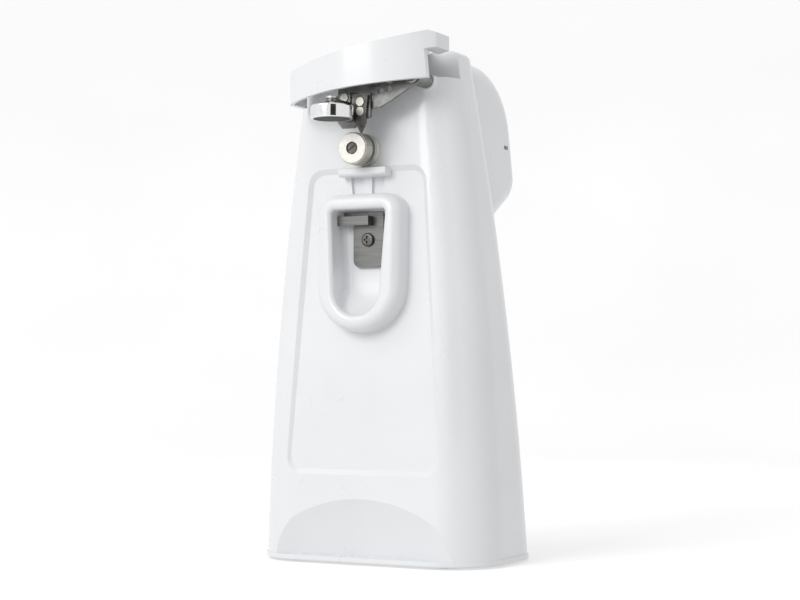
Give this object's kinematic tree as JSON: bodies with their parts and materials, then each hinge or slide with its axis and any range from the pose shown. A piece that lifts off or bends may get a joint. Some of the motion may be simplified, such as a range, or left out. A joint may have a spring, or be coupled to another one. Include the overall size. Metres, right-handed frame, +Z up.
{
  "type": "electric can opener",
  "caption": "Upright electric can opener: tapered tower housing, lever with cutter and lid magnet, geared drive wheel, bottle opener in front and knife sharpener in the back.",
  "frame": {"origin": "on the resting plane, under the middle of the opener's bounding box", "axes": "+Z up, +X to the right of a person facing the opener, -Y towards that person"},
  "size_m": [0.1244, 0.1286, 0.2446],
  "materials": {
    "aluminium": "die-cast aluminium",
    "bronze": "oil-filled bronze",
    "chrome": "polished chrome",
    "copper": "enamelled copper winding",
    "dark_steel": "hardened steel, ground edge",
    "grey_plastic": "dark grey moulded plastic",
    "grinding_stone": "abrasive stone, matte",
    "laminations": "varnished steel laminations",
    "magnet": "sintered magnet",
    "natural_nylon": "off-white nylon",
    "rubber": "soft black rubber",
    "steel": "stamped steel",
    "white_plastic": "glossy white moulded plastic",
    "zinc": "zinc-plated steel"
  },
  "bodies": {
    "tower": {"base_cover": "white_plastic", "base_screws": "zinc", "bottle_opener_plate": "steel", "bottle_opener_screw": "zinc", "coil_bobbin": "natural_nylon", "cord_bushing": "grey_plastic", "front_housing": "white_plastic", "gearbox_front_plate": "zinc", "gearbox_rear_plate": "zinc", "gearbox_screws": "zinc", "gearbox_spacers": "zinc", "housing_screws": "zinc", "idler_shaft": "steel", "motor_bearings": "bronze", "motor_coil": "copper", "motor_front_bracket": "aluminium", "motor_rear_bracket": "aluminium", "motor_screws": "zinc", "motor_spacers": "aluminium", "motor_stator": "laminations", "pivot_bushing": "steel", "pivot_pin": "steel", "rear_housing": "white_plastic", "rubber_feet": "rubber", "sharpener_guide": "grey_plastic", "spindle_bushing": "natural_nylon", "switch_body": "grey_plastic", "switch_terminals": "zinc"},
    "lever": {"lever_handle": "white_plastic", "lever_arm": "steel", "can_guide": "steel", "cutter_blade": "dark_steel", "magnet_bracket": "steel", "blade_rivets": "zinc", "handle_rivets": "zinc"},
    "magnet": {"magnet_post": "zinc", "magnet_cup": "chrome", "magnet_core": "magnet"},
    "drive": {"drive_wheel": "zinc", "drive_shaft": "steel", "wheel_screw": "dark_steel", "output_gear": "natural_nylon"},
    "idler": {"compound_gear": "natural_nylon"},
    "rotor": {"motor_shaft": "steel", "motor_pinion": "steel", "rotor_core": "laminations", "cooling_fan": "grey_plastic", "sharpening_wheel": "grinding_stone"},
    "switch_button": {"switch_plunger": "natural_nylon"}
  },
  "joints": [
    {"name": "lever_lift", "type": "hinge", "parent": "tower", "child": "lever", "pos_m": [0.031, -0.0395, 0.2243], "axis": [0, 1, 0], "range_deg": [0, 38]},
    {"name": "magnet_swing", "type": "hinge", "parent": "lever", "child": "magnet", "pos_m": [-0.0031, -0.0545, 0.2137], "axis": [1, 0, 0], "range_deg": [-4, 4]},
    {"name": "motor_spin", "type": "hinge", "parent": "tower", "child": "rotor", "pos_m": [0, 0.02, 0.1848], "axis": [0, 1, 0], "continuous": true},
    {"name": "idler_spin", "type": "hinge", "parent": "tower", "child": "idler", "pos_m": [0, -0.008, 0.1632], "axis": [0, 1, 0], "continuous": true},
    {"name": "drive_spin", "type": "hinge", "parent": "tower", "child": "drive", "pos_m": [0, -0.02, 0.1932], "axis": [0, 1, 0], "continuous": true},
    {"name": "switch_press", "type": "slide", "parent": "tower", "child": "switch_button", "axis": [0, 0, -1], "range_m": [0, 0.0015], "stiffness_N_per_m": 300}
  ],
  "couplings": [
    {"joint": "idler_spin", "follows": "motor_spin", "ratio": -0.2},
    {"joint": "drive_spin", "follows": "motor_spin", "ratio": 0.05}
  ]
}
